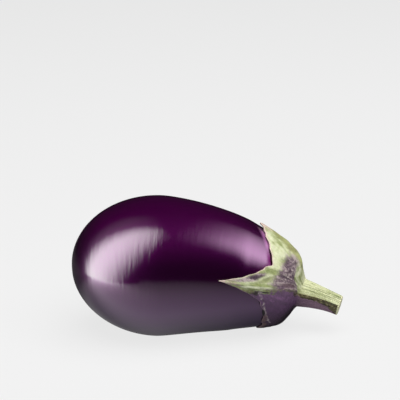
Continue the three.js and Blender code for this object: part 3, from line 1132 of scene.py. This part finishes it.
ACROSS, UP = Vector((1, 0, 0)), Vector((0, 1, 0))
softbox(
    "key_softbox",
    KEY_WIDTH,
    KEY_HEIGHT,
    facing(KEY_TARGET, azimuth=-157, elevation=25, roll=-9, distance=0.18, raised=KEY_RAISED),
    colour=linear("#f5fff2"),
    radiance=9.8,
    fades=[
        (ACROSS - KEY_LEAN * UP, -0.078, 0.008, 0.05),  # crisp on the far side, with a faint rest beyond it
        (ACROSS + KEY_LEAN * UP, -0.18, -0.08, 0),  # where that rest ends
        (ACROSS - NEAR_LEAN * UP, 0.19, 0.02, 0),  # soft on the near side
        (UP, 0.46, -0.12, 0),  # slowly upwards
        (UP, -0.5, -0.22, 0),
    ],
)
softbox(
    "right_softbox",
    RIGHT_WIDTH,
    RIGHT_HEIGHT,
    facing(RIGHT_TARGET, azimuth=-8, elevation=43, roll=0, distance=0.6),
    colour=linear("#ffe0fb"),
    radiance=7.6,
    fades=[
        (ACROSS, 0.60, -0.10, 0),
        (ACROSS, -0.37, -0.05, 0),
        (UP, 0.40, 0.05, 0),
        (UP, 0.55, -0.20, 0),
        (UP - FOOT_LEAN * ACROSS, -0.38, -0.17, 0),
    ],
)

# %% [markdown]
# ## The table as the skin mirrors it
#
# The lower half of the skin mirrors the table, and a table isn't evenly bright: it is brightest along the
# softbox's foot, it gets dimmer with distance, and it is dark under the fruit and behind it. One more sheet,
# seen by the gloss alone, lies on the table and glows like that. Light that fades with distance is written
# as exp(-distance / reach), once for a round pool of light and once for the bright line at the foot.

# %% Glow of the table
BRIGHT_SPOT, SPOT_RADIANCE, SPOT_REACH = (-0.25, 0.058, 0), 2.4, 0.235
FRONT_STARTS, FRONT_FULL, LEFT_BEHIND = -0.014, -0.054, 0.04  # where the pool begins, and the rest behind it
SOFTBOX_FOOT, FOOT_RADIANCE, FOOT_REACH = (-0.244, -0.107, 0), 7.7, 0.052
FROM_FOOT, ALONG_FOOT = (0.92, 0.39, 0), (0.39, -0.92, 0)
FOOT_ENDS = ((-0.09, -0.03, FOOT_RADIANCE), (0.15, 0.03, 1.0))  # along it: dark, full and how bright
GLOW_HEIGHT = 0.0002

glow_sheet = flat_sheet("table_glow", TABLE_SIZE, TABLE_SIZE, Matrix.Translation((0, 0, GLOW_HEIGHT)))
only_for_gloss(glow_sheet)
tree = new_material("table_in_the_gloss", glow_sheet)
place = add_node(tree, "TexCoord").outputs["Object"]

from_foot = add_node(tree, "VectorMath", {0: place, 1: SOFTBOX_FOOT}, operation="SUBTRACT").outputs["Vector"]
off_line = add_node(tree, "VectorMath", {0: from_foot, 1: FROM_FOOT}, operation="DOT_PRODUCT")
off_line = add_node(tree, "Math", {0: off_line.outputs["Value"]}, operation="ABSOLUTE")
from_spot = add_node(tree, "VectorMath", {0: place, 1: BRIGHT_SPOT}, operation="DISTANCE")
fading = []
for away, fades_over in ((from_spot, SPOT_REACH), (off_line, FOOT_REACH)):
    reaches = add_node(tree, "Math", {0: away.outputs["Value"], 1: -fades_over}, operation="DIVIDE")
    share = add_node(tree, "Math", {0: reaches.outputs["Value"]}, operation="EXPONENT")
    fading.append(share.outputs["Value"])
spot_share, foot_glow = fading

along_line = add_node(tree, "VectorMath", {0: from_foot, 1: ALONG_FOOT}, operation="DOT_PRODUCT")
for dark, full, brightest in FOOT_ENDS:
    side = add_node(
        tree,
        "MapRange",
        {"Value": along_line.outputs["Value"], "From Min": dark, "From Max": full, "To Max": brightest},
        interpolation_type="SMOOTHSTEP",
    )
    dimmed = add_node(tree, "Math", {0: foot_glow, 1: side.outputs["Result"]}, operation="MULTIPLY")
    foot_glow = dimmed.outputs["Value"]

in_front = add_node(
    tree,
    "MapRange",
    {
        "Value": add_node(tree, "SeparateXYZ", {"Vector": place}).outputs["Y"],
        "From Min": FRONT_STARTS,
        "From Max": FRONT_FULL,
        "To Min": LEFT_BEHIND,
    },
    interpolation_type="SMOOTHSTEP",
)
pool = add_node(tree, "Math", {0: spot_share, 1: SPOT_RADIANCE}, operation="MULTIPLY")
pool = add_node(
    tree, "Math", {0: pool.outputs["Value"], 1: in_front.outputs["Result"]}, operation="MULTIPLY"
)
both = add_node(tree, "Math", {0: pool.outputs["Value"], 1: foot_glow}, operation="ADD")
glow = add_node(tree, "Emission", {"Strength": both.outputs["Value"]})
add_node(tree, "OutputMaterial", {"Surface": glow.outputs["Emission"]})
print("table glow", GLOW_HEIGHT / MM, "mm above the table")

# %% [markdown]
# ## The light on the matt surfaces
#
# A broad light overhead, a little in front, shows the calyx and the body colour of the skin. It is kept out
# of reflections, as a photographer does by moving it until its mirror image is gone. The room is dark.

# %% Broad light and dark room
OVERHEAD_SIZE, OVERHEAD_RADIANCE = 1.8, 6.0
overhead_light = bpy.data.lights.new("overhead", "AREA")
overhead_light.size = OVERHEAD_SIZE
overhead_light.energy = OVERHEAD_RADIANCE * pi * OVERHEAD_SIZE**2
overhead = bpy.data.objects.new("overhead", overhead_light)
bpy.context.scene.collection.objects.link(overhead)
overhead.matrix_world = facing(LOOKED_AT, azimuth=-50, elevation=68, roll=0, distance=1.6)
overhead.visible_camera = False
overhead.visible_glossy = False

world = bpy.data.worlds.new("dark_room")
world.use_nodes = True
world.node_tree.nodes["Background"].inputs["Color"].default_value = linear("#161616")
bpy.context.scene.world = world
bpy.context.scene.view_settings.view_transform = "Standard"

# %% [markdown]
# ## Join the pieces to the frame
#
# Each piece rides on the CAD body, and the CAD node that it stands for is hidden.

# %% Ride and replace
for piece, node, slot in ((fruit, "fruit", "skin"), (calyx, "calyx_and_stalk", "calyx")):
    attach(piece, "root")
    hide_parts(node)
